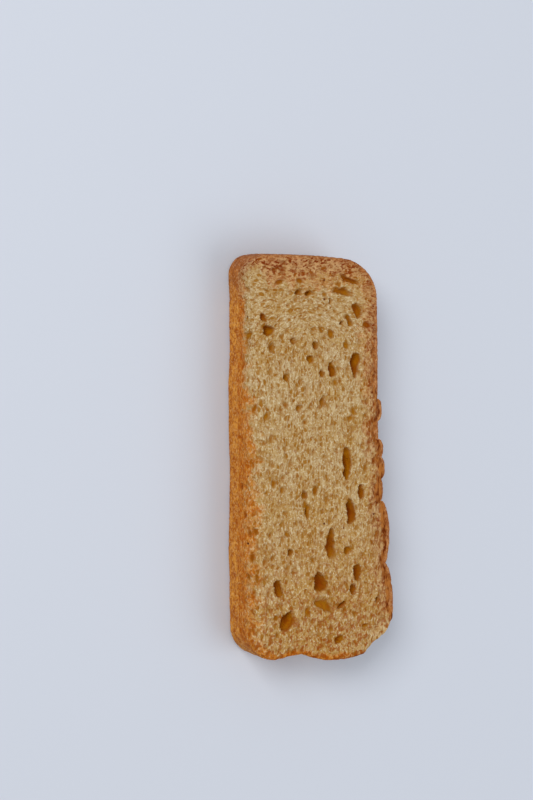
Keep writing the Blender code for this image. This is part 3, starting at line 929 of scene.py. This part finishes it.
    # Relief finer than the mesh, and little of it on the close crust
    height = add(tree, "ShaderNodeMath", {0: fleck, 1: 0.3}, operation="MULTIPLY")
    height = add(tree, "ShaderNodeMath", {0: height.outputs[0], 1: pit_and_shade}, operation="SUBTRACT")
    strength = add(tree, "ShaderNodeMapRange", {"Value": crusty, "To Min": 0.8, "To Max": 0.25})
    bump = add(tree, "ShaderNodeBump", {"Height": height.outputs[0], "Distance": 0.1 * MM,
                                        "Strength": strength.outputs[0]})
    rough = add(tree, "ShaderNodeMapRange", {"Value": facing, "To Min": 0.6, "To Max": 0.9})
    shader = add(tree, "ShaderNodeBsdfPrincipled", {
        "Base Color": colour,
        "Roughness": rough.outputs[0],
        "Normal": bump.outputs[0],
        "Specular IOR Level": 0.06,
    })
    add(tree, "ShaderNodeOutputMaterial", {"Surface": shader.outputs[0]})
    return material


def painted_ground():
    """Matt paint on a smooth board, pale blue-grey."""
    material = bpy.data.materials.new("matt_painted_board")
    material.use_nodes = True
    shader = material.node_tree.nodes["Principled BSDF"]
    shader.inputs["Base Color"].default_value = linear("D3D8E2")
    shader.inputs["Roughness"].default_value = 0.9
    shader.inputs["Specular IOR Level"].default_value = 0.2
    return material


# ---------------------------------------------------------------- ground, light and camera
GROUND_SIZE = 6.0       # metres

# Lights: name, place and size in metres, watts and colour
LIGHTS = (
    ("key", (-0.7, 0.5, 0.78), 0.55, 7.4, (1.0, 0.99, 0.98)),
    ("fill", (0.6, -0.3, 0.8), 0.8, 3.6, (0.97, 0.98, 1.0)),
)
SURROUND_COLOUR = (0.93, 0.96, 1.0, 1.0)
SURROUND_STRENGTH = 0.42


def make_ground():
    """A plain floor under the slice, much wider than the view."""
    bpy.ops.mesh.primitive_plane_add(size=GROUND_SIZE, location=(0.0, 0.0, 0.0))
    ground = bpy.context.object
    ground.name = "ground"
    ground.data.materials.append(painted_ground())


def make_lights():
    """A large soft light from the upper left, a weaker one opposite, and a pale surround.

    The lights are square and face the slice.
    """
    for name, place, size, power, colour in LIGHTS:
        data = bpy.data.lights.new(name, "AREA")
        data.size = size
        data.energy = power
        data.color = colour
        light = bpy.data.objects.new(name, data)
        light.location = place
        light.rotation_euler = (-Vector(place)).to_track_quat("-Z", "Y").to_euler()
        bpy.context.scene.collection.objects.link(light)
    world = bpy.data.worlds.new("studio")
    world.use_nodes = True
    background = world.node_tree.nodes["Background"]
    background.inputs["Color"].default_value = SURROUND_COLOUR
    background.inputs["Strength"].default_value = SURROUND_STRENGTH
    bpy.context.scene.world = world
    bpy.context.scene.view_settings.view_transform = "Standard"


IMAGE = (533, 800)                  # pixels
FOCAL = 1822.0                      # focal length in pixels
SENSOR_HEIGHT = 36.0                # millimetres
FACE_TURN = math.radians(28.0)      # the slice's face is turned this far to the right
LOOK_DOWN = math.radians(4.7)       # and its upper end leans this far towards the camera
DISTANCE = 463.0 * MM
LEFT_EDGE_PIXEL = (254.0, 457.0)    # where the left cut edge shows, at the height below
LEFT_EDGE_POINT = (-20.7 * MM, 1.9 * MM, THICKNESS)


def make_camera():
    """The camera: the photograph's view of the face, with the slice now lying on its back.

    The slice's axes in the camera's are the columns of tilt times turn. The camera is put where
    the edge point's ray, drawn through its pixel to the given distance, ends on that point.
    """
    turned = Matrix.Rotation(FACE_TURN, 3, "Y")
    tilted = Matrix.Rotation(LOOK_DOWN, 3, "X")
    axes = tilted @ turned
    x = (LEFT_EDGE_PIXEL[0] - IMAGE[0] / 2) / FOCAL
    y = -(LEFT_EDGE_PIXEL[1] - IMAGE[1] / 2) / FOCAL
    seen = Vector((x, y, -1.0)) * DISTANCE
    back = axes.transposed()
    data = bpy.data.cameras.new("camera")
    data.sensor_fit = "VERTICAL"
    data.sensor_height = SENSOR_HEIGHT
    data.lens = FOCAL / IMAGE[1] * data.sensor_height
    camera = bpy.data.objects.new("camera", data)
    camera.matrix_world = Matrix.Translation(Vector(LEFT_EDGE_POINT) - back @ seen) @ back.to_4x4()
    bpy.context.scene.collection.objects.link(camera)
    bpy.context.scene.camera = camera


rusk = make_slice()
rusk.data.materials.append(crumb_and_crust())
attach(rusk, "root")
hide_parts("rusk")
make_ground()
make_lights()
make_camera()
